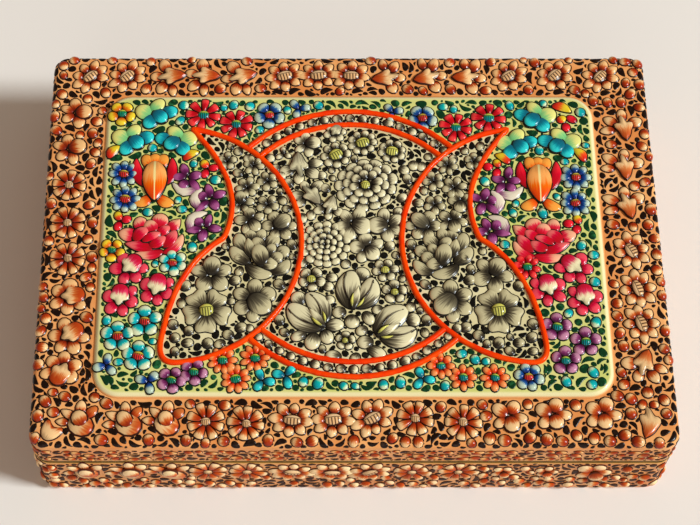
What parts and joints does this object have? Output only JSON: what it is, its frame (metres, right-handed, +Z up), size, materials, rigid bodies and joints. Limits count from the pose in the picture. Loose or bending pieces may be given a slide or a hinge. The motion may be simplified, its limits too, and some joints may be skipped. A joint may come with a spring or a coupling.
{
  "type": "trinket box",
  "caption": "Flat rectangular papier-mache box with a lift-off lid, an inner collar and raised painted floral relief.",
  "frame": {"origin": "middle of the underside, on the surface that the box stands on", "axes": "+X along the long side to the right, +Y to the back, +Z up out of the lid; the front is -Y"},
  "size_m": [0.2562, 0.1802, 0.0529],
  "materials": {
    "black_lacquer": "glossy black lacquer over pulp",
    "gilded_card": "ochre-gold painted card",
    "border_paint": "glossy varnish over painted gesso relief",
    "panel_edge": "glossy varnish over cream paint",
    "garden_paint": "glossy varnish over painted gesso relief",
    "moon_paint": "glossy varnish over painted gesso relief",
    "cord_paint": "glossy varnish over orange-red paint"
  },
  "bodies": {
    "base": {"base_shell": "black_lacquer", "collar_front": "gilded_card", "collar_back": "gilded_card", "collar_left": "gilded_card", "collar_right": "gilded_card", "base_relief_front": "border_paint", "base_relief_back": "border_paint", "base_relief_left": "border_paint", "base_relief_right": "border_paint"},
    "lid": {"lid_shell": "black_lacquer", "field_board": "panel_edge", "lid_relief_front": "border_paint", "lid_relief_back": "border_paint", "lid_relief_left": "border_paint", "lid_relief_right": "border_paint", "garden_relief": "garden_paint", "moon_relief": "moon_paint", "crescent_relief_left": "moon_paint", "crescent_relief_right": "moon_paint", "crescent_cord_left": "cord_paint", "crescent_cord_right": "cord_paint", "ring_cord_front": "cord_paint", "ring_cord_back": "cord_paint", "moon_cord_front": "cord_paint", "moon_cord_back": "cord_paint"}
  },
  "joints": [
    {"name": "lid_lift", "type": "slide", "parent": "base", "child": "lid", "axis": [0, 0, 1], "range_m": [0, 0.06]}
  ]
}
